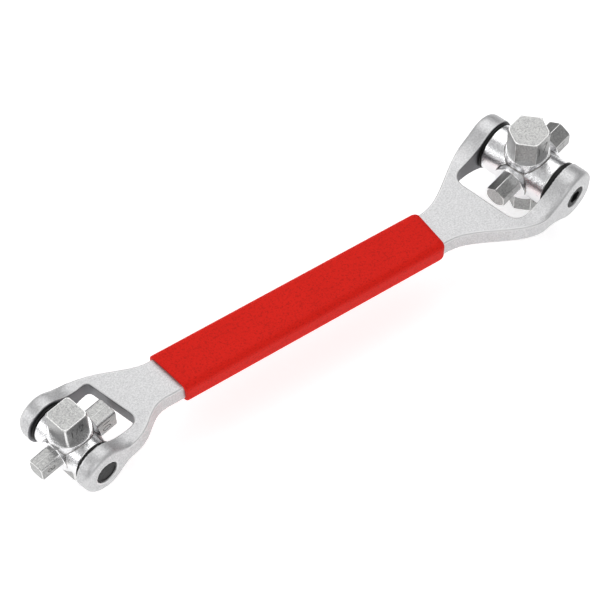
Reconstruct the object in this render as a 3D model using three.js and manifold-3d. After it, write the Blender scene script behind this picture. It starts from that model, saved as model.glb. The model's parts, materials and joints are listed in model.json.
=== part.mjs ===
// Double-ended drain-plug wrench: a forged handle with a fork at each end, and in each fork a
// four-way rotor that spins on a cross pin. Millimetres, +Z up, +X from the small head to the
// large head. The origin is under the middle of the whole wrench, level with its lowest point.
import * as THREE from 'three';
import { mergeVertices } from 'three/addons/utils/BufferGeometryUtils.js';
import Module from 'manifold-3d';

const wasm = await Module();
wasm.setup();

// ---------------------------------------------------------------- driving dimensions
const HEAD_TURN = 13.9 * Math.PI / 180;   // forks and rotors are turned this much from the bar
const FIT_GAP = 0.3;                      // left between pieces that touch
const ROUND_STEPS = 48;                   // facets around a full turn
const CURVE_STEPS = 16;                   // facets along each shoulder curve
const OVERRUN = 5;                        // how far a cutter runs past what it cuts
const WELD = 1e-4;                        // points nearer than this are one point

const BAR = { width: 20, thickness: 8.5 };
const GRIP = {
  width: 24,
  thickness: 12.5,
  corner: 4,
  boreCorner: 0.6,
  start: -75.6,
  end: 62.6,
  endSkew: 11 * Math.PI / 180,
};

// Each head is described about its own pin: u runs along the turned X, v along the pin, w up.
// `inward` is the sign of u that points towards the bar. `restTurn` is how far, in degrees, the
// rotor stands off square at rest: positive lifts the bit that points along +u.
const SMALL_HEAD = {
  name: 'small',
  pin: { x: -124.4, y: -4 },
  inward: 1,
  restTurn: -3,
  earOuter: 22,
  slotHalf: { front: 15, back: 14.5 },
  bossRadius: 11,
  tipCorner: 3.5,
  flareRadius: 20,
  slotBase: { front: 24.7, back: 22.2, frontCorner: 5.5, backCorner: 2.5 },
  ring: { front: 1.2, back: 0.9 },
  shoulder: {
    front: { ear: 16, bar: 42, earPull: 11, barPull: 9 },
    back: { ear: 7, bar: 44, earPull: 18, barPull: 10 },
  },
  pinRadius: 5.4,
  socketFlats: 6,
  socketSide: 1,
  hubRadius: 9.3,
  ringRadius: 9.7,
  bossFace: 9.9,
  spigot: { radius: 3.6, root: 6.4 },
  bits: [
    { name: 'square_half_inch', sides: 4, flats: 12.7, tip: 20.7, boss: 9.6, turn: 0 },
    { name: 'square_10', sides: 4, flats: 10, tip: 20.6, boss: 8.4, turn: 1 },
    { name: 'square_11', sides: 4, flats: 11, tip: 19.8, boss: 8.8, turn: 2 },
    { name: 'square_8', sides: 4, flats: 8, tip: 19.4, boss: 7.4, turn: 3 },
  ],
};
const LARGE_HEAD = {
  name: 'large',
  pin: { x: 124.4, y: 8 },
  inward: -1,
  restTurn: 5.4,
  earOuter: 28.7,
  slotHalf: { front: 19.6, back: 19.6 },
  bossRadius: 12.8,
  tipCorner: 3,
  flareRadius: 38,
  slotBase: { front: 32.3, back: 31.9, frontCorner: 7.5, backCorner: 8 },
  ring: { front: 1.7, back: 0.8 },
  shoulder: {
    front: { ear: 21, bar: 58, earPull: 14, barPull: 14 },
    back: { ear: 10, bar: 61, earPull: 18, barPull: 14 },
  },
  pinRadius: 5.7,
  socketFlats: 6,
  socketSide: -1,
  hubRadius: 11.8,
  ringRadius: 12.3,
  bossFace: 13.2,
  spigot: { radius: 4.4, root: 7.4 },
  bits: [
    { name: 'hex_17', sides: 6, flats: 17, tip: 26.7, boss: 10.4, turn: 0 },
    { name: 'hex_12', sides: 6, flats: 12, tip: 25.4, boss: 9.4, turn: 1 },
    { name: 'hex_14', sides: 6, flats: 14, tip: 26.2, boss: 10, turn: 2 },
    { name: 'hex_10', sides: 6, flats: 10, tip: 23.4, boss: 8.6, turn: 3 },
  ],
};
// The rounding of an ear's outer rim: how far it reaches along the pin, and in from the rim.
const EAR_ROUND = { along: 2.4, inset: 1.7, steps: 3 };
// Drive bits: how far the corners are turned down, how far the end face stops short of the
// turned corners (squares) or of the flats (hexagons), and the slope of the chamfer between.
const BIT_EDGE = {
  4: { turnedDown: 0.5, endInset: 0.5, slope: Math.PI / 4 },
  6: { turnedDown: 0.15, endInset: -0.2, slope: Math.PI / 6 },
};
const SOCKET_DEPTH = 5;
const SPIGOT_STEPS = 24;

// ---------------------------------------------------------------- materials
const steel = (color, roughness) => new THREE.MeshStandardMaterial({ color, roughness, metalness: 1 });
const rubber = (color, roughness) => new THREE.MeshStandardMaterial({ color, roughness, metalness: 0 });
const MATERIALS = {
  handle: () => steel(0xd2d2d4, 0.42),
  hub: () => steel(0xdcdde0, 0.18),
  bit: () => steel(0xb9b8b8, 0.38),
  screw: () => steel(0x1c1b1c, 0.45),
  ring: () => rubber(0x0b0b0c, 0.3),
  grip: () => rubber(0xc8241c, 0.62),
};

// ---------------------------------------------------------------- solids
function solid(geometry) {
  const bare = geometry.clone();
  bare.deleteAttribute('normal');
  bare.deleteAttribute('uv');
  const merged = mergeVertices(bare, WELD);
  const vertProperties = new Float32Array(merged.attributes.position.array);
  const triVerts = new Uint32Array(merged.index.array);
  return new wasm.Manifold(new wasm.Mesh({ numProp: 3, vertProperties, triVerts }));
}

function meshOf(name, shape, material) {
  const data = shape.getMesh();
  const geometry = new THREE.BufferGeometry();
  geometry.setAttribute('position', new THREE.BufferAttribute(new Float32Array(data.vertProperties), 3));
  geometry.setIndex(new THREE.BufferAttribute(new Uint32Array(data.triVerts), 1));
  geometry.computeVertexNormals();
  const mesh = new THREE.Mesh(geometry, material);
  mesh.name = name;
  return mesh;
}

// A plan outline, pushed up from w = low to w = high.
function plate(outline, low, high, holes = []) {
  const shape = outline.clone();
  shape.holes = holes;
  const options = { depth: high - low, bevelEnabled: false, curveSegments: 14 };
  return solid(new THREE.ExtrudeGeometry(shape, options).translate(0, 0, low));
}

// A cylinder along v (the pin direction) between two values of v.
function barrel(radius, from, to, steps = ROUND_STEPS) {
  const geometry = new THREE.CylinderGeometry(radius, radius, to - from, steps);
  return solid(geometry.translate(0, (from + to) / 2, 0));
}

// A prism or cone standing on w, between two values of w, with `sides` flats.
function post(sides, lowRadius, highRadius, low, high, spin = 0) {
  const geometry = new THREE.CylinderGeometry(highRadius, lowRadius, high - low, sides);
  geometry.rotateX(Math.PI / 2).rotateZ(spin).translate(0, 0, (low + high) / 2);
  return solid(geometry);
}

const cornerRadius = (sides, flats) => flats / 2 / Math.cos(Math.PI / sides);

// ---------------------------------------------------------------- handle
// Turns a head's (u, v) into the wrench's plan.
function toPlan(head, u, v) {
  const c = Math.cos(HEAD_TURN);
  const s = Math.sin(HEAD_TURN);
  return new THREE.Vector2(head.pin.x + u * c - v * s, head.pin.y + u * s + v * c);
}

// The S-curve from the edge of the bar out to the flat side of an ear. `side` is the sign of v.
function shoulderCurve(head, side) {
  const { ear, bar, earPull, barPull } = side > 0 ? head.shoulder.back : head.shoulder.front;
  const inward = head.inward;
  const barX = head.pin.x + inward * bar;
  const barEdge = new THREE.Vector2(barX, side * BAR.width / 2);
  return new THREE.CubicBezierCurve(
    barEdge,
    new THREE.Vector2(barX - inward * barPull, barEdge.y),
    toPlan(head, inward * (ear + earPull), side * head.earOuter),
    toPlan(head, inward * ear, side * head.earOuter),
  );
}

// The rounded outer corner of an ear's tip, ending a little beyond the boss.
function tipCorner(head, side) {
  const steps = 6;
  const outward = -head.inward;
  const round = head.tipCorner;
  const points = [];
  for (let i = 0; i <= steps; i += 1) {
    const angle = (i / steps) * Math.PI / 2;
    const u = head.bossRadius - round + round * Math.sin(angle);
    const v = head.earOuter - round + round * Math.cos(angle);
    points.push(toPlan(head, outward * u, side * v));
  }
  const beyond = head.bossRadius + OVERRUN;
  points.push(toPlan(head, outward * beyond, side * (head.earOuter - round)));
  return points;
}

function handleOutline() {
  const points = [];
  const addEnd = (head, firstSide) => {
    const first = shoulderCurve(head, firstSide).getPoints(CURVE_STEPS);
    const last = shoulderCurve(head, -firstSide).getPoints(CURVE_STEPS).reverse();
    points.push(...first, ...tipCorner(head, firstSide));
    points.push(...tipCorner(head, -firstSide).reverse(), ...last);
  };
  addEnd(LARGE_HEAD, -1);
  addEnd(SMALL_HEAD, 1);
  return new THREE.Shape(points);
}

// The side view of a fork: a round boss about the pin that sweeps down to the bar's thickness.
function sideProfile(head) {
  const half = BAR.thickness / 2;
  const R = head.bossRadius;
  const F = head.flareRadius;
  const sweepU = Math.sqrt((R + F) ** 2 - (half + F) ** 2);
  const meet = Math.atan2(half + F, sweepU);
  const reach = sweepU + 1;
  const profile = new THREE.Shape();
  profile.moveTo(reach, half);
  profile.lineTo(sweepU, half);
  profile.absarc(sweepU, half + F, F, -Math.PI / 2, meet - Math.PI, true);
  profile.absarc(0, 0, R, meet, 2 * Math.PI - meet, false);
  profile.absarc(sweepU, -half - F, F, Math.PI - meet, Math.PI / 2, true);
  profile.lineTo(reach, -half);
  return withoutRepeats(profile.getPoints(CURVE_STEPS));
}

// A shape from points, leaving out any that repeats the one before it.
function withoutRepeats(points) {
  const apart = (a, b) => a.distanceTo(b) > 100 * WELD;
  const kept = points.filter((point, i) => i === 0 || apart(point, points[i - 1]));
  if (!apart(kept[0], kept[kept.length - 1])) kept.pop();
  return new THREE.Shape(kept);
}

function forkEnvelope(head) {
  const half = head.earOuter - EAR_ROUND.along;
  const options = {
    depth: 2 * half,
    bevelThickness: EAR_ROUND.along,
    bevelSize: EAR_ROUND.inset,
    bevelOffset: -EAR_ROUND.inset,
    bevelSegments: EAR_ROUND.steps,
  };
  const geometry = new THREE.ExtrudeGeometry(sideProfile(head), options);
  geometry.rotateX(Math.PI / 2).translate(0, half, 0);
  if (head.inward < 0) geometry.rotateZ(Math.PI);
  return place(solid(geometry), head);
}

// Moves a solid made about a head's pin to its place in the wrench.
function place(shape, head) {
  const turn = HEAD_TURN * 180 / Math.PI;
  return shape.rotate([0, 0, turn]).translate([head.pin.x, head.pin.y, 0]);
}

// The same for a piece of the rotor, which also stands turned about the pin.
function placeRotor(shape, head) {
  return place(shape.rotate([0, -head.restTurn, 0]), head);
}

function slotCutter(head) {
  const { front, back, frontCorner, backCorner } = head.slotBase;
  const near = -head.slotHalf.front;
  const far = head.slotHalf.back;
  const outline = new THREE.Shape();
  const open = -head.bossRadius - OVERRUN;
  const slope = (back - front) / (far - near);
  outline.moveTo(open, near);
  outline.lineTo(front - frontCorner, near);
  outline.quadraticCurveTo(front, near, front + slope * frontCorner, near + frontCorner);
  outline.lineTo(back - slope * backCorner, far - backCorner);
  outline.quadraticCurveTo(back, far, back - backCorner, far);
  outline.lineTo(open, far);
  const tall = 2 * head.bossRadius;
  let cutter = plate(outline, -tall, tall);
  if (head.inward < 0) cutter = cutter.mirror([1, 0, 0]);
  return place(cutter, head);
}

// The bar's thickness over all the space between the two pins.
function barSlab() {
  const half = BAR.thickness / 2;
  const wide = LARGE_HEAD.earOuter + OVERRUN;
  const outline = new THREE.Shape([
    toPlan(SMALL_HEAD, 0, -wide), toPlan(LARGE_HEAD, 0, -wide),
    toPlan(LARGE_HEAD, 0, wide), toPlan(SMALL_HEAD, 0, wide),
  ]);
  return plate(outline, -half, half);
}

function handleBody() {
  const heads = [SMALL_HEAD, LARGE_HEAD];
  const tall = LARGE_HEAD.bossRadius + OVERRUN;
  const envelope = heads.map(forkEnvelope).reduce((sum, fork) => sum.add(fork), barSlab());
  let body = plate(handleOutline(), -tall, tall).intersect(envelope);
  for (const head of heads) {
    const reach = head.earOuter + OVERRUN;
    body = body.subtract(slotCutter(head));
    body = body.subtract(place(barrel(head.pinRadius, -reach, reach), head));
  }
  return meshOf('handle_body', body, MATERIALS.handle());
}

// ---------------------------------------------------------------- grip
function roundedSection(width, height, corner) {
  const x = width / 2;
  const y = height / 2;
  const section = new THREE.Shape();
  section.moveTo(x, -y + corner);
  section.absarc(x - corner, y - corner, corner, 0, Math.PI / 2, false);
  section.absarc(-x + corner, y - corner, corner, Math.PI / 2, Math.PI, false);
  section.absarc(-x + corner, -y + corner, corner, Math.PI, 1.5 * Math.PI, false);
  section.absarc(x - corner, -y + corner, corner, 1.5 * Math.PI, 2 * Math.PI, false);
  return section;
}

function alongBar(geometry, start) {
  return geometry.rotateX(Math.PI / 2).rotateZ(Math.PI / 2).translate(start, 0, 0);
}

function gripSleeve() {
  const spare = GRIP.width;
  const start = GRIP.start - spare / 2;
  const depth = GRIP.end - start;
  const options = { depth, bevelEnabled: false, curveSegments: 10 };
  const outer = roundedSection(GRIP.width, GRIP.thickness, GRIP.corner);
  const sleeve = solid(alongBar(new THREE.ExtrudeGeometry(outer, options), start));
  const inner = roundedSection(BAR.width + 2 * FIT_GAP, BAR.thickness + 2 * FIT_GAP, GRIP.boreCorner);
  const longer = { ...options, depth: depth + 2 * OVERRUN };
  const bore = solid(alongBar(new THREE.ExtrudeGeometry(inner, longer), start - OVERRUN));
  const trim = new THREE.BoxGeometry(spare, 3 * GRIP.width, 3 * GRIP.thickness);
  trim.translate(-spare / 2, 0, 0);
  const skewCut = solid(trim.rotateZ(GRIP.endSkew).translate(GRIP.start, 0, 0));
  return meshOf('grip_sleeve', sleeve.subtract(bore).subtract(skewCut), MATERIALS.grip());
}

// ---------------------------------------------------------------- rotor
// Where the hub's barrel ends, next to the ring on that side.
function hubEnd(head, where) {
  return head.slotHalf[where] - head.ring[where] - 2 * FIT_GAP;
}

function hub(head) {
  const front = -hubEnd(head, 'front');
  const back = hubEnd(head, 'back');
  let body = barrel(head.hubRadius, front, back);
  for (const bit of head.bits) {
    const boss = post(ROUND_STEPS, bit.boss, bit.boss, 0, head.bossFace);
    body = body.add(boss.rotate([0, 90 * bit.turn, 0]));
  }
  for (const bit of head.bits) {
    const hole = head.spigot.radius + FIT_GAP;
    const socket = post(SPIGOT_STEPS, hole, hole, head.spigot.root - FIT_GAP, head.bossFace + OVERRUN);
    body = body.subtract(socket.rotate([0, 90 * bit.turn, 0]));
  }
  body = body.subtract(barrel(head.pinRadius, front - OVERRUN, back + OVERRUN));
  return meshOf(`${head.name}_hub`, placeRotor(body, head), MATERIALS.hub());
}

function driveBit(head, bit) {
  const edge = BIT_EDGE[bit.sides];
  const corner = cornerRadius(bit.sides, bit.flats);
  const turned = corner - edge.turnedDown;
  const endRadius = bit.sides === 4 ? turned - edge.endInset : bit.flats / 2 - edge.endInset;
  const shoulder = bit.tip - (turned - endRadius) * Math.tan(edge.slope);
  const spin = Math.PI / 2 + (bit.sides === 4 ? Math.PI / 4 : 0);
  const low = head.bossFace + FIT_GAP;
  const shank = post(bit.sides, corner, corner, low, bit.tip, spin);
  const turning = post(ROUND_STEPS, turned, turned, low - 1, shoulder)
    .add(post(ROUND_STEPS, turned, endRadius, shoulder, bit.tip));
  const { radius, root } = head.spigot;
  const spigot = post(SPIGOT_STEPS, radius, radius, root, low + 1);
  const body = shank.intersect(turning).add(spigot).rotate([0, 90 * bit.turn, 0]);
  return meshOf(`${head.name}_bit_${bit.name}`, placeRotor(body, head), MATERIALS.bit());
}

function pivotScrew(head) {
  const end = head.earOuter - FIT_GAP;
  const radius = head.pinRadius - FIT_GAP;
  const side = head.socketSide;
  const socketRadius = cornerRadius(6, head.socketFlats);
  const mouth = side * (end + OVERRUN);
  const floor = side * (end - SOCKET_DEPTH);
  const socket = barrel(socketRadius, Math.min(mouth, floor), Math.max(mouth, floor), 6);
  const body = barrel(radius, -end, end).subtract(socket);
  return meshOf(`${head.name}_pivot_screw`, place(body, head), MATERIALS.screw());
}

function frictionRing(head, side) {
  const where = side > 0 ? 'back' : 'front';
  const far = head.slotHalf[where] - FIT_GAP;
  const near = far - head.ring[where];
  const from = side > 0 ? near : -far;
  const to = side > 0 ? far : -near;
  const hole = barrel(head.pinRadius, from - OVERRUN, to + OVERRUN);
  const body = barrel(head.ringRadius, from, to).subtract(hole);
  return meshOf(`${head.name}_${where}_ring`, place(body, head), MATERIALS.ring());
}

function headPieces(head) {
  return [
    hub(head),
    ...head.bits.map((bit) => driveBit(head, bit)),
    pivotScrew(head),
    frictionRing(head, -1),
    frictionRing(head, 1),
  ];
}

// ---------------------------------------------------------------- the wrench
const wrench = new THREE.Group();
wrench.add(handleBody(), gripSleeve(), ...headPieces(SMALL_HEAD), ...headPieces(LARGE_HEAD));

const box = new THREE.Box3().setFromObject(wrench);
const middle = box.getCenter(new THREE.Vector3());
wrench.position.set(-middle.x, -middle.y, -box.min.z);

export default wrench;
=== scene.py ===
"""Looks for the double-ended drain-plug wrench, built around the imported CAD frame.

Pieces are modelled in millimetres and then scaled to metres. The handle and the grip are made in
the row's own frame, and the rest about their head's pin: there u runs along the head, v along
the pin and w up, as in the CAD part.
"""
import json
import math

import bmesh
import bpy
import numpy as np
from mathutils import Matrix, Vector


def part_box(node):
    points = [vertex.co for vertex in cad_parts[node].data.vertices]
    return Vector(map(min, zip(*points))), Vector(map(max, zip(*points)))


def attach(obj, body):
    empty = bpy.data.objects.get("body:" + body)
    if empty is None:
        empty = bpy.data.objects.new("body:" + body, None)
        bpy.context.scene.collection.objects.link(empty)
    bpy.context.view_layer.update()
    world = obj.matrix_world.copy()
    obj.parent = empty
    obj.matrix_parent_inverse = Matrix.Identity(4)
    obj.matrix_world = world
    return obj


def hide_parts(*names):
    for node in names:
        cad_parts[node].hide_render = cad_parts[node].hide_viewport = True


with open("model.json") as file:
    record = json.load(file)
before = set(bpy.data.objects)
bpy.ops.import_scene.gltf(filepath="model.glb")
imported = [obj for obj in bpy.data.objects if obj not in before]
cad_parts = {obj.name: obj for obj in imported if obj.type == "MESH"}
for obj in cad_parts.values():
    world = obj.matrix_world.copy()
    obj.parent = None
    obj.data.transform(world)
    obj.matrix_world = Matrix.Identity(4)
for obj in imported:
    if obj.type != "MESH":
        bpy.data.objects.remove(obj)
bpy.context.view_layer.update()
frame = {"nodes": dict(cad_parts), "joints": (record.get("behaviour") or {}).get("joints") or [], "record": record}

MM = 0.001
HEADS = ("small", "large")
JOINTS = {j["child"].split("_")[0]: j for j in frame["joints"]}
MOUNTS = {m["name"]: m for m in frame["record"]["mounts"]}

# ---------------------------------------------------------------- sizes, in millimetres
PIN_RADIUS = {"small": 5.4, "large": 5.7}
EAR_OUTER = {"small": 22.0, "large": 28.7}
SLOT_BASE = {"small": {-1: 24.7, 1: 22.2}, "large": {-1: 32.3, 1: 31.9}}
BOSS_RADIUS = {"small": 11.0, "large": 12.8}
HUB_RADIUS = {"small": 9.3, "large": 11.8}
FIT_GAP = 0.3
SOCKET_SIDE = {"small": 1, "large": -1}
BAR_WIDTH = 20.0

# How finely each forging is skinned, how much it is smoothed and what share of its faces it keeps.
SKIN = {
    "handle": {"voxel": 0.42, "rounds": 7, "keep": 0.42, "edge_rounds": 10, "edge_height": 0.22},
    "small": {"voxel": 0.2, "rounds": 3, "keep": 0.5, "edge_rounds": 6, "edge_height": 0.1},
    "large": {"voxel": 0.24, "rounds": 3, "keep": 0.5, "edge_rounds": 6, "edge_height": 0.1},
}
HUB_EDGE = {"barrel": 0.5, "boss": 0.35}
# Where the forks' inner walls get their painted shade.
SLOT_SHADE = {"steep": 0.8, "margin": 0.5, "blend": 0.3}

# An ear is rounded from `rim` outside the pin's hole and from `wall` outside the slot's wall.
EAR_ROUNDING = {"reach": 0.9, "rim": 1.8, "wall": 1.2, "run": 2.0, "rounds": 20}

# The grip's small-head end is slanted by `skew` and bowed up by `bow`, and both fade over `fade`.
# That end has a round lip, and the other end is drawn in to the bar over the length `tuck`.
GRIP = {"width": 24.0, "thickness": 12.5, "corner": 3.6, "skew": math.radians(11), "bow": 0.45,
        "fade": 26, "lip": 0.7, "mouth": 0.4, "tuck": 3.2, "inner_end": 1.0, "bar_gap": 0.1}
SCREW = {"recess": 0.35, "slack": 0.12, "edge": 0.45, "socket_half": 3.0, "socket_depth": 5,
         "dish_floor": 1.1, "dish_mouth": 0.85, "dish_depth": 0.25}
RING = {"outside": 0.4, "inside": 0.1, "squeeze": 0.2, "soft": 0.35}
BITS = {
    "small": [
        dict(name="square_half_inch", sides=4, flats=12.7, boss=9.6, turn=0, text="1/2"),
        dict(name="square_10", sides=4, flats=10.0, boss=8.4, turn=1, text="10", seam=True),
        dict(name="square_11", sides=4, flats=11.0, boss=8.8, turn=2, text="11"),
        dict(name="square_8", sides=4, flats=8.0, boss=7.4, turn=3, text="8", seam=True),
    ],
    "large": [
        dict(name="hex_17", sides=6, flats=17.0, boss=10.4, turn=0, text="17"),
        dict(name="hex_12", sides=6, flats=12.0, boss=9.4, turn=1, text="12"),
        dict(name="hex_14", sides=6, flats=14.0, boss=10.0, turn=2, text="14"),
        dict(name="hex_10", sides=6, flats=10.0, boss=8.6, turn=3, text="10"),
    ],
}

# A bit's skin starts BIT_SINK under its boss's face.
BIT_SINK = 0.6
BIT_END = {
    4: {"corner": 1.25, "slope": math.radians(45), "chamfer": 0.5, "rim": 0.35},
    6: {"corner": 0.45, "slope": math.radians(30), "chamfer": 0.6, "rim": 0.18},
}
DIGIT = {"depth": 0.22, "across": 0.66, "along": 0.44, "free": 1.0, "thinning": 0.02,
         "shade": 0.2, "margin": 0.03}
SEAM = {"height": 0.06, "half": 0.12, "foot": 0.2}
UP_MOUNT = {"small": "half_inch_square_drive", "large": "hex_17_drive"}

# The "edge" attribute is FLAT on an even face, more on a proud edge and less in a crease; the metals paint a
# highlight where it is more and shade where it is less.
FLAT = 0.5
# Marks added on a bit's corners, chamfers, rims and seams, where the metal paints a highlight.
PROUD = {"corner": 0.35, "chamfer": 0.22, "rim": 0.4, "seam": 3}

# ---------------------------------------------------------------- camera and light
# `aim` and `distance` are in millimetres, and `aim` starts from the middle between the pins.
CAMERA = {"aim": (-5.383, -0.462, -2.268), "azimuth": -31.75, "elevation": 54.88, "roll": -1.92,
          "distance": 639.6, "lens": 85.4}
FLOOR = {"half": 6.0, "glow": 0.52}
LIGHTS = (
    {"name": "key", "place": (0.35, 0.60, 1.05), "size": (1.1, 1.1), "power": 5.6},
    {"name": "fill", "place": (-0.5, -0.8, 0.9), "size": (0.9, 0.6), "power": 2.4},
    {"name": "left", "place": (-0.95, 0.5, 0.4), "size": (0.7, 0.5), "power": 2.6},
)
# The sky's greys run from the horizon to straight up, and it is dimmer towards one side.
SKY = {"strength": 0.62, "low": 0.24, "high": 0.95, "between": ((0.3, 0.34), (0.55, 0.9)),
       "dim_side": (0.45, 0.75, 0.5), "dim_from": 0.2, "dim_to": 0.72, "blue": 0.01}


# ---------------------------------------------------------------- frames
def basis(origin, v, w):
    """Matrix from a head's (u, v, w) in millimetres to the row frame in metres."""
    u = v.cross(w).normalized()
    turn = Matrix((u, v, w)).transposed().to_4x4()
    return Matrix.Translation(origin) @ turn @ Matrix.Scale(MM, 4)


def head_matrix(head):
    joint = JOINTS[head]
    return basis(Vector(joint["pos_m"]), Vector(joint["axis"]).normalized(), Vector((0, 0, 1)))


def rotor_matrix(head):
    joint = JOINTS[head]
    v = Vector(joint["axis"]).normalized()
    w = Vector(MOUNTS[UP_MOUNT[head]]["axis"]).normalized()
    return basis(Vector(joint["pos_m"]), v, w)


def bit_matrix(head, turn):
    """The rotor's frame turned so that w points along one of its four bits."""
    return rotor_matrix(head) @ Matrix.Rotation(math.radians(90 * turn), 4, "Y")


def reach(node, matrix, axis):
    """The least and greatest of a CAD node's coordinates along one axis of a local frame."""
    local = matrix.inverted()
    along = [(local @ vertex.co)[axis] for vertex in frame["nodes"][node].data.vertices]
    return min(along), max(along)


def tip_of(head, bit):
    """How far the bit's end face stands from the pin, in millimetres."""
    return reach(f"{head}_bit_{bit['name']}", bit_matrix(head, bit["turn"]), 2)[1]


def boss_face(head):
    """How far the bosses' round faces stand from the pin, in millimetres."""
    return reach(f"{head}_hub", rotor_matrix(head), 2)[1]


def ring_faces(head, side):
    """The two faces of a rubber ring, as distances from the middle of the head."""
    where = "back" if side > 0 else "front"
    faces = reach(f"{head}_{where}_ring", head_matrix(head), 1)
    return sorted(abs(face) for face in faces)


def slot_half(head, side):
    """How far a fork's inner wall stands from the middle of the head."""
    return ring_faces(head, side)[1] + FIT_GAP


# ---------------------------------------------------------------- mesh helpers
def new_object(name, mesh):
    piece = bpy.data.objects.new(name, mesh)
    bpy.context.scene.collection.objects.link(piece)
    return piece


def mesh_from(name, points, faces):
    mesh = bpy.data.meshes.new(name)
    mesh.from_pydata([tuple(p) for p in points], [], [tuple(f) for f in faces])
    mesh.validate()
    return mesh


def apply_modifiers(piece):
    graph = bpy.context.evaluated_depsgraph_get()
    baked = bpy.data.meshes.new_from_object(piece.evaluated_get(graph))
    old = piece.data
    piece.modifiers.clear()
    piece.data = baked
    bpy.data.meshes.remove(old)


def rings_mesh(name, rings):
    """Joins closed rings of equal length into one skin, with a fan closing each end."""
    count = len(rings[0])
    points = [p for ring in rings for p in ring]
    faces = []
    for i in range(len(rings) - 1):
        a, b = i * count, (i + 1) * count
        for j in range(count):
            k = (j + 1) % count
            faces.append((a + j, a + k, b + k, b + j))
    for ring, order in ((0, -1), (len(rings) - 1, 1)):
        centre = len(points)
        points.append(tuple(np.mean(rings[ring], axis=0)))
        for j in range(count):
            k = (j + 1) % count
            first, second = ring * count + j, ring * count + k
            faces.append((first, second, centre) if order > 0 else (second, first, centre))
    return mesh_from(name, points, faces)


def closed_rings_mesh(name, rings):
    """Joins closed rings into a ring of rings, as for a tube with a wall."""
    count = len(rings[0])
    points = [p for ring in rings for p in ring]
    faces = []
    for i in range(len(rings)):
        a, b = i * count, ((i + 1) % len(rings)) * count
        for j in range(count):
            k = (j + 1) % count
            faces.append((a + j, a + k, b + k, b + j))
    return mesh_from(name, points, faces)


def face_outward(mesh, weld=0):
    """Turns every face of a closed mesh outward, first joining points closer than `weld`."""
    bm = bmesh.new()
    bm.from_mesh(mesh)
    if weld:
        bmesh.ops.remove_doubles(bm, verts=bm.verts, dist=weld)
    bmesh.ops.recalc_face_normals(bm, faces=bm.faces)
    bm.to_mesh(mesh)
    bm.free()


def circle(radius, v, steps):
    """A ring of points about the pin at one value of v."""
    turns = [2 * math.pi * i / steps for i in range(steps)]
    return [(radius * math.cos(t), v, -radius * math.sin(t)) for t in turns]


def upright(radius, w, steps):
    """A ring of points about the w axis at one height."""
    turns = [2 * math.pi * i / steps for i in range(steps)]
    return [(radius * math.cos(t), radius * math.sin(t), w) for t in turns]


def rounded_profile(radius, low, high, edge, steps=5):
    """(radius, position) pairs of a cylinder's wall, with both edges rounded by `edge`."""
    turns = [math.pi / 2 * i / steps for i in range(steps + 1)]
    start = [(radius - edge + edge * math.sin(t), low + edge - edge * math.cos(t)) for t in turns]
    end = [(radius - edge + edge * math.cos(t), high - edge + edge * math.sin(t)) for t in turns]
    return [(radius * 0.5, low)] + start + end + [(radius * 0.5, high)]


def boolean(piece, other, operation):
    """Joins `other` to a piece or cuts it out of the piece, and then removes it."""
    modifier = piece.modifiers.new("cut", "BOOLEAN")
    modifier.operation = operation
    modifier.solver = "MANIFOLD"
    modifier.object = other
    apply_modifiers(piece)
    bpy.data.objects.remove(other)


def coordinates(mesh):
    co = np.empty(len(mesh.vertices) * 3)
    mesh.vertices.foreach_get("co", co)
    return co.reshape(-1, 3)


def vertex_normals(mesh):
    normals = np.empty(len(mesh.vertices) * 3, dtype=np.float32)
    mesh.vertices.foreach_get("normal", normals)
    return normals.reshape(-1, 3)


def store(mesh, name, values):
    """Keeps one number for each vertex, for a material to read."""
    attribute = mesh.attributes.get(name) or mesh.attributes.new(name, "FLOAT", "POINT")
    attribute.data.foreach_set("value", np.asarray(values, dtype=np.float32))


def fade(value, end, run):
    """1 where a value is small, falling to 0 at `end` over a length of `run`."""
    return np.clip((end - value) / run, 0, 1)


def rise(value, start, run):
    """0 up to `start`, rising to 1 over a length of `run`."""
    return np.clip((value - start) / run, 0, 1)


def edge_ends(mesh):
    ends = np.empty(len(mesh.edges) * 2, dtype=np.int64)
    mesh.edges.foreach_get("vertices", ends)
    return ends[::2], ends[1::2]


def neighbour_mean(values, ends, count):
    """The mean of each vertex's neighbours, for one or more columns of values."""
    a, b = ends
    degree = np.bincount(a, minlength=count) + np.bincount(b, minlength=count)
    columns = []
    for column in values.T:
        total = np.bincount(a, column[b], count) + np.bincount(b, column[a], count)
        columns.append(total / np.maximum(degree, 1))
    return np.array(columns).T


def relax(mesh, rounds, weight=None, share=0.5, back=-0.52):
    """Smooths a mesh with little loss of size; `weight` limits it to part of the mesh."""
    co = coordinates(mesh)
    ends = edge_ends(mesh)
    amount = np.ones(len(co)) if weight is None else weight
    for _ in range(rounds):
        for step in (share, back):
            if step:
                co = co + step * amount[:, None] * (neighbour_mean(co, ends, len(co)) - co)
    mesh.vertices.foreach_set("co", co.ravel())
    mesh.update()


def mark_edges(mesh, rounds, full):
    """Stores how far each vertex stands proud of its surroundings; `full` is the most that shows."""
    co = coordinates(mesh)
    ends = edge_ends(mesh)
    soft = co
    for _ in range(rounds):
        soft = neighbour_mean(soft, ends, len(co)) * 0.5 + soft * 0.5
    proud = ((co - soft) * vertex_normals(mesh)).sum(1) / full
    store(mesh, "edge", np.clip(FLAT + 0.5 * proud, 0, 1))


def shade(mesh, angle=None):
    """Smooth shading, broken where two faces meet more sharply than `angle` degrees."""
    for polygon in mesh.polygons:
        polygon.use_smooth = True
    if angle is not None:
        mesh.set_sharp_from_angle(angle=math.radians(angle))


def voxel_skin(piece, voxel, rounds):
    """Remeshes a faceted solid into an even skin and smooths it."""
    remesh = piece.modifiers.new("skin", "REMESH")
    remesh.mode = "VOXEL"
    remesh.voxel_size = voxel
    apply_modifiers(piece)
    relax(piece.data, rounds)


def thin_out(piece, keep):
    """Keeps about this share of the faces, taking most from the flat places."""
    thin = piece.modifiers.new("thin", "DECIMATE")
    thin.ratio = keep
    apply_modifiers(piece)


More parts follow.
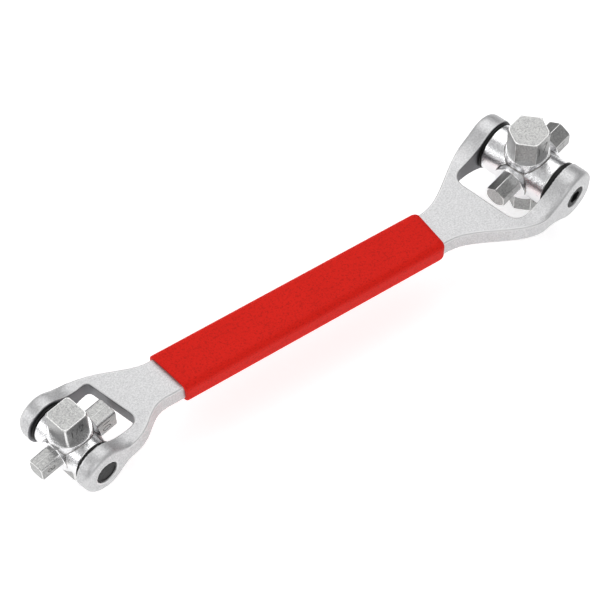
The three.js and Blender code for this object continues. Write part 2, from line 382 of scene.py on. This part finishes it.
def settle(piece, matrix, body, nodes, material):
    """Moves a finished piece to the row frame, ties it to its body, gives it its finish and hides the CAD nodes it
    stands for.
    """
    piece.data.transform(matrix)
    piece.data.update()
    piece.data.materials.clear()
    piece.data.materials.append(material)
    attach(piece, body)
    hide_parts(*nodes)


# ---------------------------------------------------------------- materials
class Nodes:
    """A short way to write a material's node tree."""

    def __init__(self, name):
        self.material = bpy.data.materials.new(name)
        self.material.use_nodes = True
        self.tree = self.material.node_tree
        self.shader = self.tree.nodes["Principled BSDF"]
        coordinate = self.tree.nodes.new("ShaderNodeTexCoord")
        self.place = coordinate.outputs["Object"]

    def link(self, output, target):
        self.tree.links.new(output, target)

    def noise(self, scale, detail=2.0, roughness=0.55):
        node = self.tree.nodes.new("ShaderNodeTexNoise")
        node.inputs["Scale"].default_value = scale
        node.inputs["Detail"].default_value = detail
        node.inputs["Roughness"].default_value = roughness
        self.link(self.place, node.inputs["Vector"])
        return node.outputs["Fac"]

    def span(self, value, low, high, to_low, to_high):
        """Maps low..high to to_low..to_high, held at both ends."""
        node = self.tree.nodes.new("ShaderNodeMapRange")
        ends = {"From Min": low, "From Max": high, "To Min": to_low, "To Max": to_high}
        for name, number in ends.items():
            node.inputs[name].default_value = number
        self.link(value, node.inputs["Value"])
        return node.outputs["Result"]

    def math(self, operation, a, b):
        node = self.tree.nodes.new("ShaderNodeMath")
        node.operation = operation
        for socket, value in zip(node.inputs, (a, b)):
            if isinstance(value, (int, float)):
                socket.default_value = value
            else:
                self.link(value, socket)
        return node.outputs[0]

    def mix(self, factor, a, b):
        node = self.tree.nodes.new("ShaderNodeMix")
        node.data_type = "RGBA"
        self.link(factor, node.inputs["Factor"])
        for socket, colour in ((node.inputs[6], a), (node.inputs[7], b)):
            if isinstance(colour, tuple):
                socket.default_value = (*colour, 1)
            else:
                self.link(colour, socket)
        return node.outputs[2]

    def attribute(self, name):
        node = self.tree.nodes.new("ShaderNodeAttribute")
        node.attribute_name = name
        return node.outputs["Fac"]

    def bump(self, height, strength, distance, under=None):
        node = self.tree.nodes.new("ShaderNodeBump")
        node.inputs["Strength"].default_value = strength
        node.inputs["Distance"].default_value = distance
        self.link(height, node.inputs["Height"])
        if under is not None:
            self.link(under, node.inputs["Normal"])
        return node.outputs["Normal"]

    def set(self, **values):
        """Sets or links the shader's inputs, named with _ for a space."""
        for name, value in values.items():
            socket = self.shader.inputs[name.replace("_", " ")]
            if isinstance(value, (int, float, tuple)):
                socket.default_value = value
            else:
                self.link(value, socket)


def grained_metal_with_painted_light(name, colours, roughness, grain, grain_depth, painted_highlight_colour, edge_roughness, crease,
               slot=None, metallic=1.0):
    """Metal with a fine grain, smoother and with a painted highlight on its proud edges, and with painted shade in
    its creases.

    `colours` and `roughness` are the two ends of each range. The darker colour for a fork's inner walls is painted
    shade and a painted dark reflection, where the piece has them.
    """
    n = Nodes(name)
    mottle = n.span(n.noise(260, 3), 0.3, 0.7, 0.42, 0.58)
    fine = n.noise(grain, 2, 0.6)
    speck = n.span(n.noise(grain * 0.45, 2, 0.7), 0.3, 0.7, -0.35, 0.35)
    edge = n.attribute("edge")
    uneven = n.span(n.noise(900, 3), 0, 1, -0.06, 0.06)
    # The proud edges get a painted highlight and the creases painted shade, both read from the edge attribute.
    proud = n.span(n.math("ADD", edge, uneven), 0.58, 0.8, 0, 1)
    sunk = n.span(edge, 0.46, 0.3, 0, 1)
    grainy = n.math("ADD", n.math("ADD", mottle, fine), speck)
    body = n.mix(n.span(grainy, 0.6, 1.45, 0, 1), colours[0], colours[1])
    lit = n.mix(proud, body, painted_highlight_colour)
    colour = n.mix(sunk, lit, crease)
    # Painted shade and a painted dark reflection on the forks' inner walls.
    if slot:
        colour = n.mix(n.attribute("slot"), colour, slot)
    rough = n.span(n.math("ADD", mottle, fine), 0.7, 1.3, roughness[0], roughness[1])
    pull = n.math("MULTIPLY", proud, edge_roughness - roughness[0])
    coarse = n.bump(speck, grain_depth * 0.5, 0.00012)
    n.set(Metallic=metallic, Base_Color=colour, Roughness=n.math("ADD", rough, pull))
    n.set(Normal=n.bump(fine, grain_depth, 0.00006, coarse))
    return n.material


def handle_metal():
    # The edge colour is a painted highlight, the crease colour painted shade, and the slot colour painted shade on
    # the forks' inner walls.
    return grained_metal_with_painted_light(
        "satin_chrome", colours=((0.45, 0.45, 0.455), (0.71, 0.71, 0.715)), roughness=(0.38, 0.48),
        grain=3000, grain_depth=0.6, painted_highlight_colour=(0.72, 0.72, 0.72), edge_roughness=0.40,
        crease=(0.42, 0.40, 0.38), slot=(0.17, 0.17, 0.18), metallic=0.72)


def hub_metal():
    # The edge colour is a painted highlight and the crease colour painted shade.
    return grained_metal_with_painted_light(
        "polished_chrome", colours=((0.70, 0.70, 0.71), (0.93, 0.93, 0.94)), roughness=(0.18, 0.30),
        grain=2400, grain_depth=0.7, painted_highlight_colour=(0.92, 0.92, 0.92), edge_roughness=0.14,
        crease=(0.30, 0.29, 0.28))


def bit_metal():
    # The edge colour is a painted highlight on corners, chamfers, rims and seams, and the crease colour is painted
    # shade in the cut digits.
    return grained_metal_with_painted_light(
        "brushed_bit_steel", colours=((0.22, 0.22, 0.22), (0.50, 0.50, 0.49)), roughness=(0.27, 0.37),
        grain=3000, grain_depth=0.8, painted_highlight_colour=(0.80, 0.80, 0.79), edge_roughness=0.22,
        crease=(0.06, 0.055, 0.05))


def screw_black():
    n = Nodes("black_oxide")
    fine = n.noise(2600, 3)
    patchy = n.span(fine, 0.3, 0.75, 0, 1)
    n.set(Base_Color=n.mix(patchy, (0.003, 0.003, 0.003), (0.016, 0.016, 0.017)))
    n.set(Metallic=0.0, Roughness=n.span(n.noise(900), 0.3, 0.7, 0.42, 0.58))
    n.set(Normal=n.bump(fine, 0.4, 0.00005), Specular_IOR_Level=0.3)
    return n.material


def ring_rubber():
    n = Nodes("ring_rubber")
    fine = n.noise(1800, 3)
    n.set(Base_Color=n.mix(fine, (0.003, 0.003, 0.003), (0.010, 0.010, 0.010)))
    n.set(Roughness=n.span(fine, 0.3, 0.7, 0.38, 0.52), Normal=n.bump(fine, 0.25, 0.00005))
    n.set(Specular_IOR_Level=0.25)
    return n.material


def grip_vinyl():
    n = Nodes("red_vinyl")
    cloudy = n.noise(45, 3)
    fine = n.noise(2400, 3, 0.65)
    dust = n.span(n.noise(700, 4, 0.7), 0.70, 0.78, 0, 0.35)
    body = n.mix(n.span(cloudy, 0.3, 0.7, 0, 1), (0.70, 0.009, 0.004), (0.78, 0.012, 0.006))
    speckled = n.mix(n.span(fine, 0.35, 0.7, 0, 1), body, (0.80, 0.018, 0.009))
    pores = n.span(n.noise(1100, 2, 0.7), 0.5, 0.32, 0, 0.55)
    # The pores are pits in the bump and painted shade in the colour.
    speckled = n.mix(pores, speckled, (0.42, 0.006, 0.003))
    waves = n.bump(n.noise(120, 2), 0.25, 0.0006)
    pitted = n.bump(pores, -0.4, 0.0001, waves)
    n.set(Base_Color=n.mix(dust, speckled, (0.78, 0.10, 0.07)))
    n.set(Roughness=n.span(fine, 0.3, 0.7, 0.52, 0.68), Specular_IOR_Level=0.12)
    n.set(Normal=n.bump(fine, 0.55, 0.00008, pitted))
    return n.material


# ---------------------------------------------------------------- the handle and its grip
def handle_piece(material):
    """The forging: an even skin over the CAD solid, with the ends of the ears rounded off."""
    mesh = frame["nodes"]["handle_body"].data.copy()
    mesh.transform(Matrix.Scale(1 / MM, 4))
    face_outward(mesh, weld=0.002)
    piece = new_object("handle_forging", mesh)
    skin = SKIN["handle"]
    voxel_skin(piece, skin["voxel"], skin["rounds"])
    soften_ears(piece.data)
    mark_edges(piece.data, skin["edge_rounds"], skin["edge_height"])
    mark_slot_shade(piece.data)
    thin_out(piece, skin["keep"])
    shade(piece.data)
    settle(piece, Matrix.Scale(MM, 4), "handle", ["handle_body"], material)


def head_coordinates(co, head):
    """Row coordinates in millimetres as a head's u, v and w, with u pointing to the bar."""
    local = head_matrix(head).inverted() @ Matrix.Scale(MM, 4)
    turned = np.c_[co, np.ones(len(co))] @ np.array(local).T
    return turned[:, 0] * (1 if head == "small" else -1), turned[:, 1], turned[:, 2]


def walls(head, v):
    """How far the fork's inner wall stands from the middle, on each vertex's own side."""
    return np.where(v > 0, slot_half(head, 1), slot_half(head, -1))


def mark_slot_shade(mesh):
    """Stores 1 on the inner walls of the two forks, where the metal paints shade, and 0 elsewhere."""
    co = coordinates(mesh)
    margin, blend = SLOT_SHADE["margin"], SLOT_SHADE["blend"]
    standing = fade(np.abs(vertex_normals(mesh)[:, 2]), SLOT_SHADE["steep"], blend)
    marked = np.zeros(len(co))
    for head in HEADS:
        u, v, _ = head_coordinates(co, head)
        half = walls(head, v)
        share = np.clip((v / half + 1) / 2, 0, 1)
        base = SLOT_BASE[head][-1] * (1 - share) + SLOT_BASE[head][1] * share
        within = fade(np.abs(v), half + margin, blend) * fade(u, base + margin, blend)
        marked = np.maximum(marked, within * standing)
    store(mesh, "slot", marked)


def soften_ears(mesh):
    """Rounds the far ends of the four ears much more than the other edges."""
    co = coordinates(mesh)
    run = EAR_ROUNDING["run"]
    weight = np.zeros(len(co))
    for head in HEADS:
        u, v, w = head_coordinates(co, head)
        near = fade(u, BOSS_RADIUS[head] * EAR_ROUNDING["reach"], BOSS_RADIUS[head])
        rim = rise(np.hypot(u, w) - PIN_RADIUS[head], EAR_ROUNDING["rim"], run)
        outer = rise(np.abs(v) - walls(head, v), EAR_ROUNDING["wall"], run)
        weight = np.maximum(weight, near * rim * outer)
    relax(mesh, EAR_ROUNDING["rounds"], weight, back=0)


def bar_section(width, height, corner, steps=8, flat=10):
    """A rounded rectangle in (y, z), with the same count of points whatever its size."""
    corner = max(corner, 0.05)
    half_y, half_z = width / 2 - corner, height / 2 - corner
    centres = ((half_y, half_z), (-half_y, half_z), (-half_y, -half_z), (half_y, -half_z))
    points = []
    for quarter, (y, z) in enumerate(centres):
        for s in range(steps + 1):
            angle = math.pi / 2 * (quarter + s / steps)
            points.append((y + corner * math.cos(angle), z + corner * math.sin(angle)))
        next_y, next_z = centres[(quarter + 1) % 4]
        out_y, out_z = corner * math.cos(angle), corner * math.sin(angle)
        for s in range(1, flat):
            t = s / flat
            points.append((y + out_y + t * (next_y - y), z + out_z + t * (next_z - z)))
    return points


def grip_track(start, end):
    """(x, inset) pairs along the sleeve's wall: over its outside and back along its inside."""
    lip, tuck, mouth = GRIP["lip"], GRIP["tuck"], GRIP["mouth"]
    wall = (GRIP["width"] - BAR_WIDTH) / 2 - GRIP["bar_gap"]
    drawn_in = wall - 0.05
    straight = end - tuck - start - lip
    inner_end = end - GRIP["inner_end"]
    lip_steps, outer_steps, tuck_steps, inner_steps = 6, 60, 8, 30
    track = []
    for i in range(lip_steps + 1):
        t = math.pi / 2 * i / lip_steps
        track.append((start + lip * (1 - math.cos(t)), lip * (1 - math.sin(t))))
    for i in range(1, outer_steps):
        track.append((start + lip + straight * i / outer_steps, 0.0))
    for i in range(tuck_steps + 1):
        t = math.pi / 2 * i / tuck_steps
        track.append((end - tuck + tuck * math.sin(t), drawn_in * (1 - math.cos(t))))
    for i in range(inner_steps + 1):
        track.append((inner_end - (inner_end - start - mouth) * i / inner_steps, wall))
    return track + [(start, wall - mouth)]


def grip_piece(material):
    """A dipped sleeve: open and slanted at the small head, drawn in at the large head."""
    low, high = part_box("grip_sleeve")
    middle_y, middle_z = (low.y + high.y) / 2 / MM, (low.z + high.z) / 2 / MM
    slant = math.tan(GRIP["skew"])
    start = low.x / MM + GRIP["width"] / 2 * slant
    rings = []
    for x, inset in grip_track(start, high.x / MM):
        section = bar_section(
            GRIP["width"] - 2 * inset, GRIP["thickness"] - 2 * inset, GRIP["corner"] - inset)
        near = max(0.0, 1 - (x - start) / GRIP["fade"]) ** 2
        ring = []
        for y, z in section:
            bow = GRIP["bow"] * near * (1 - (2 * y / GRIP["width"]) ** 2) if z > 0 else 0
            ring.append((x - y * slant * near, y + middle_y, z + middle_z + bow))
        rings.append(ring)
    mesh = closed_rings_mesh("grip_vinyl_sleeve", rings)
    face_outward(mesh)
    shade(mesh, 50)
    piece = new_object("grip_vinyl_sleeve", mesh)
    settle(piece, Matrix.Scale(MM, 4), "handle", ["grip_sleeve"], material)


# ---------------------------------------------------------------- rotor pieces
def cylinder_piece(name, profile, ring, steps):
    """A solid with a round section, from its (radius, position) pairs along `ring`'s axis."""
    mesh = rings_mesh(name, [ring(radius, place, steps) for radius, place in profile])
    face_outward(mesh)
    return new_object(name, mesh)


def hub_piece(head, material):
    """Barrel and four round bosses, melted together with a small crease between them."""
    front, back = (ring_faces(head, side)[0] - FIT_GAP for side in (-1, 1))
    face = boss_face(head)
    barrel = rounded_profile(HUB_RADIUS[head], -front, back, HUB_EDGE["barrel"])
    piece = cylinder_piece(f"{head}_hub_forging", barrel, circle, 128)
    for bit in BITS[head]:
        profile = rounded_profile(bit["boss"], 0, face, HUB_EDGE["boss"])
        boss = cylinder_piece("boss", profile, upright, 112)
        boss.data.transform(Matrix.Rotation(math.radians(90 * bit["turn"]), 4, "Y"))
        boolean(piece, boss, "UNION")
    bore_ends = [(PIN_RADIUS[head], -front - 2), (PIN_RADIUS[head], back + 2)]
    boolean(piece, cylinder_piece("bore", bore_ends, circle, 96), "DIFFERENCE")
    skin = SKIN[head]
    voxel_skin(piece, skin["voxel"], skin["rounds"])
    thin_out(piece, skin["keep"])
    mark_edges(piece.data, skin["edge_rounds"], skin["edge_height"])
    shade(piece.data)
    settle(piece, rotor_matrix(head), f"{head}_rotor", [f"{head}_hub"], material)


def prism_turns(sides, flats, corner, seam, across=12, round_steps=8):
    """(angle, radius, edge) around a prism whose upright corners are rounded.

    One flat face looks along +v. With `seam`, every other face carries the thin parting line
    of a forging.
    """
    half = flats / 2
    wedge = math.pi / sides
    run = (half - corner) * math.tan(wedge)
    centre = (half - corner) / math.cos(wedge)
    found = []
    for side in range(sides):
        middle = math.pi / 2 + 2 * wedge * side
        places = [-run + 2 * run * i / across for i in range(across + 1)]
        height = SEAM["height"] if seam and side % 2 else 0
        if height:
            places = sorted(places + [-SEAM["foot"], -SEAM["half"], SEAM["half"], SEAM["foot"]])
        for s in places:
            lift = height if abs(s) <= SEAM["half"] else 0
            # The seam's ridge is marked for a painted highlight.
            mark = FLAT + PROUD["seam"] * lift
            found.append((middle + math.atan2(s, half), math.hypot(s, half + lift), mark))
        for i in range(1, round_steps):
            t = -wedge + 2 * wedge * i / round_steps
            x, y = centre + corner * math.cos(t), corner * math.sin(t)
            # The rounded corners are marked for a painted highlight.
            mark = FLAT + PROUD["corner"] * math.cos(math.pi * t / (2 * wedge))
            found.append((middle + wedge + math.atan2(y, x), math.hypot(x, y), mark))
    return found


def bit_heights(low, shoulder, tip, rim):
    """The heights of a bit's rings, close together where its end is shaped."""
    heights = [low, low + 1.0, shoulder - 2.0]
    if tip - rim > shoulder:
        heights += [shoulder + (tip - rim - shoulder) * i / 10 for i in range(11)]
    heights += [tip - rim * (1 - math.sin(math.pi / 2 * i / 6)) for i in range(7)]
    return sorted(set(round(height, 5) for height in heights))


def bit_piece(head, bit, material):
    """A drive bit: a prism with its end turned to a chamfer and its rims softened."""
    end = BIT_END[bit["sides"]]
    rim, slope = end["rim"], math.tan(end["slope"])
    tip = tip_of(head, bit)
    low = boss_face(head) - BIT_SINK
    turns = prism_turns(bit["sides"], bit["flats"], end["corner"], bit.get("seam"))
    widest = max(radius for _, radius, _ in turns)
    end_radius = widest - end["chamfer"]
    shoulder = tip - (widest - end_radius) * slope
    rings, marks = [], []
    for height in bit_heights(low, shoulder, tip, rim):
        sunk = max(0.0, height - (tip - rim))
        fillet = rim - math.sqrt(max(rim * rim - sunk * sunk, 0))
        cone = end_radius + (tip - height) / slope
        ring = []
        for angle, radius, mark in turns:
            r = min(radius, cone) - fillet
            ring.append((r * math.cos(angle), r * math.sin(angle), height))
            # Chamfers and the softened rim are marked for a painted highlight.
            chamfered = FLAT + PROUD["chamfer"] if cone < radius else mark
            marks.append(max(chamfered, FLAT + PROUD["rim"] * min(1.0, sunk / rim)))
        rings.append(ring)
    top = rings[-1]
    for share in (0.97, 0.9, 0.7, 0.4, 0.15):
        rings.append([(x * share, y * share, z) for x, y, z in top])
    mesh = rings_mesh(f"{head}_bit_{bit['name']}_steel", rings)
    marks.extend([FLAT] * (len(mesh.vertices) - len(marks)))
    store(mesh, "edge", marks)
    face_outward(mesh)
    piece = new_object(f"{head}_drive_{bit['name']}", mesh)
    engrave(piece, bit, low, shoulder)
    shade(piece.data, 28)
    settle(
        piece, bit_matrix(head, bit["turn"]), f"{head}_rotor",
        [f"{head}_bit_{bit['name']}"], material)


def digits_mesh(text):
    """Digits as a solid, in type of size 1, reaching from -0.5 to 0.5 in z."""
    curve = bpy.data.curves.new("digits", "FONT")
    curve.body = text
    curve.align_x = "CENTER"
    curve.align_y = "CENTER"
    curve.size = 1.0
    curve.extrude = 0.5
    curve.offset = -DIGIT["thinning"]
    curve.resolution_u = 3
    stamp = new_object("digits", curve)
    graph = bpy.context.evaluated_depsgraph_get()
    mesh = bpy.data.meshes.new_from_object(stamp.evaluated_get(graph))
    bpy.data.objects.remove(stamp)
    face_outward(mesh, weld=1e-4)
    return mesh


def engrave(piece, bit, low, shoulder):
    """Cuts the size number into the face that looks along -v, upright towards the tip."""
    depth = DIGIT["depth"]
    face = -bit["flats"] / 2
    face_width = bit["flats"] if bit["sides"] == 4 else bit["flats"] * math.tan(math.pi / 6)
    room = shoulder - low - DIGIT["free"]
    middle = (low + BIT_SINK + shoulder) / 2
    mesh = digits_mesh(bit["text"])
    co = coordinates(mesh)
    wide, tall = np.ptp(co[:, 0]), np.ptp(co[:, 1])
    scale = min(face_width * DIGIT["across"] / wide, room * DIGIT["along"] / tall)
    x, y, z = (co - (co.max(0) + co.min(0)) / 2).T
    placed = np.column_stack((x * scale, face - z * 2 * depth, middle + y * scale))
    mesh.vertices.foreach_set("co", placed.ravel())
    boolean(piece, new_object("digits_cutter", mesh), "DIFFERENCE")
    shade_digits(piece.data, placed, face + depth / 2)


def shade_digits(mesh, cutter, level):
    """Marks the floor of the cut digits as sunk, for painted shade, and their rims as flat."""
    co = coordinates(mesh)
    near, far = cutter.min(0) - DIGIT["margin"], cutter.max(0) + DIGIT["margin"]
    cut = (co > near).all(1) & (co < far).all(1)
    marks = np.empty(len(co), dtype=np.float32)
    mesh.attributes["edge"].data.foreach_get("value", marks)
    marks[cut] = np.where(co[cut, 1] > level, FLAT - DIGIT["shade"], FLAT)
    store(mesh, "edge", marks)


def screw_piece(head, material):
    """The black cross screw, with a hexagon socket in one end and a dished other end."""
    end = EAR_OUTER[head] - SCREW["recess"]
    radius = PIN_RADIUS[head] - SCREW["slack"]
    side = SOCKET_SIDE[head]
    shank = rounded_profile(radius, -end, end, SCREW["edge"])
    piece = cylinder_piece(f"{head}_cross_screw", shank, circle, 96)
    corner_radius = SCREW["socket_half"] / math.cos(math.pi / 6)
    socket = [(corner_radius, side * (end - SCREW["socket_depth"])), (corner_radius, side * (end + 1))]
    boolean(piece, cylinder_piece("socket", socket, circle, 6), "DIFFERENCE")
    dish = [(radius - SCREW["dish_floor"], -side * (end - SCREW["dish_depth"])),
            (radius - SCREW["dish_mouth"], -side * (end + 0.5))]
    boolean(piece, cylinder_piece("dish", dish, circle, 72), "DIFFERENCE")
    shade(piece.data, 35)
    settle(
        piece, head_matrix(head), "handle", [f"{head}_pivot_screw"], material)


def ring_piece(head, side, material):
    """A flat rubber ring, a little thicker than its CAD solid, so that it all but fills its gap."""
    soft = RING["soft"]
    outer = HUB_RADIUS[head] + RING["outside"] - soft
    inner = PIN_RADIUS[head] + RING["inside"] + soft
    near, far = ring_faces(head, side)
    near, far = near - RING["squeeze"] + soft, far + RING["squeeze"] - soft
    section = []
    for quarter, (radius, v) in enumerate(((outer, far), (inner, far), (inner, near), (outer, near))):
        for i in range(6):
            angle = math.pi / 2 * (quarter + i / 5)
            section.append((radius + soft * math.cos(angle), v + soft * math.sin(angle)))
    rings = [circle(radius, side * v, 96) for radius, v in section]
    where = "back" if side > 0 else "front"
    mesh = closed_rings_mesh(f"{head}_{where}_rubber_ring", rings)
    face_outward(mesh)
    shade(mesh)
    piece = new_object(f"{head}_{where}_rubber_ring", mesh)
    settle(piece, head_matrix(head), "handle", [f"{head}_{where}_ring"], material)


# ---------------------------------------------------------------- camera, floor and light
def make_camera():
    azimuth, elevation = math.radians(CAMERA["azimuth"]), math.radians(CAMERA["elevation"])
    level = math.cos(elevation)
    back = Vector((math.sin(azimuth) * level, -math.cos(azimuth) * level, math.sin(elevation)))
    data = bpy.data.cameras.new("camera")
    data.lens = CAMERA["lens"]
    data.sensor_width = 36.0
    data.clip_start, data.clip_end = 0.05, 20
    camera = bpy.data.objects.new("camera", data)
    bpy.context.scene.collection.objects.link(camera)
    pins = [Vector(JOINTS[head]["pos_m"]) for head in HEADS]
    aim = (pins[0] + pins[1]) / 2 + Vector(CAMERA["aim"]) * MM
    camera.location = aim + back * CAMERA["distance"] * MM
    facing = (-back).to_track_quat("-Z", "Y").to_matrix()
    camera.rotation_euler = (facing @ Matrix.Rotation(math.radians(CAMERA["roll"]), 3, "Z")).to_euler()
    bpy.context.scene.camera = camera


def make_floor():
    half = FLOOR["half"]
    corners = [(-half, -half, 0), (half, -half, 0), (half, half, 0), (-half, half, 0)]
    floor = new_object("floor", mesh_from("floor", corners, [(0, 1, 2, 3)]))
    n = Nodes("paper")
    n.set(Base_Color=n.mix(n.noise(3), (0.86, 0.86, 0.86), (0.88, 0.88, 0.88)))
    n.set(Roughness=0.9, Specular_IOR_Level=0.1)
    n.set(Emission_Color=(1, 1, 1, 1), Emission_Strength=FLOOR["glow"])
    floor.data.materials.append(n.material)


def area_light(name, place, size, power):
    """A rectangular light that faces the origin."""
    data = bpy.data.lights.new(name, "AREA")
    data.shape = "RECTANGLE"
    data.size, data.size_y = size
    data.energy = power
    light = bpy.data.objects.new(name, data)
    light.location = place
    light.rotation_euler = (-Vector(place)).to_track_quat("-Z", "Y").to_euler()
    bpy.context.scene.collection.objects.link(light)


def make_sky():
    world = bpy.data.worlds.new("studio")
    bpy.context.scene.world = world
    world.use_nodes = True
    tree = world.node_tree
    coordinate = tree.nodes.new("ShaderNodeTexCoord")
    split = tree.nodes.new("ShaderNodeSeparateXYZ")
    ramp = tree.nodes.new("ShaderNodeValToRGB")
    toward = tree.nodes.new("ShaderNodeVectorMath")
    toward.operation = "DOT_PRODUCT"
    toward.inputs[1].default_value = Vector(SKY["dim_side"]).normalized()
    dim = tree.nodes.new("ShaderNodeMapRange")
    dim.interpolation_type = "SMOOTHSTEP"
    dim.inputs["From Min"].default_value = SKY["dim_from"]
    dim.inputs["To Min"].default_value = 1.0
    dim.inputs["To Max"].default_value = SKY["dim_to"]
    scaled = tree.nodes.new("ShaderNodeVectorMath")
    scaled.operation = "SCALE"
    background = tree.nodes["Background"]
    background.inputs["Strength"].default_value = SKY["strength"]
    for output, target in (
            (coordinate.outputs["Generated"], split.inputs[0]),
            (split.outputs["Z"], ramp.inputs["Fac"]),
            (coordinate.outputs["Generated"], toward.inputs[0]),
            (toward.outputs["Value"], dim.inputs["Value"]),
            (ramp.outputs["Color"], scaled.inputs[0]),
            (dim.outputs["Result"], scaled.inputs["Scale"]),
            (scaled.outputs["Vector"], background.inputs["Color"])):
        tree.links.new(output, target)
    stops = ramp.color_ramp.elements
    greys = [(stops[0], SKY["low"]), (stops[1], SKY["high"])]
    greys += [(stops.new(position), grey) for position, grey in SKY["between"]]
    for stop, grey in greys:
        stop.color = (grey, grey, grey + SKY["blue"], 1)


def make_light():
    make_sky()
    for light in LIGHTS:
        area_light(**light)
    bpy.context.scene.view_settings.view_transform = "Standard"


# ---------------------------------------------------------------- build
def build_head(head, looks):
    hub_piece(head, looks["hub"])
    for bit in BITS[head]:
        bit_piece(head, bit, looks["bit"])
    screw_piece(head, looks["screw"])
    for side in (-1, 1):
        ring_piece(head, side, looks["ring"])


def build():
    looks = {"handle": handle_metal(), "hub": hub_metal(), "bit": bit_metal(),
             "screw": screw_black(), "ring": ring_rubber(), "grip": grip_vinyl()}
    make_camera()
    make_floor()
    make_light()
    handle_piece(looks["handle"])
    grip_piece(looks["grip"])
    for head in HEADS:
        build_head(head, looks)


build()
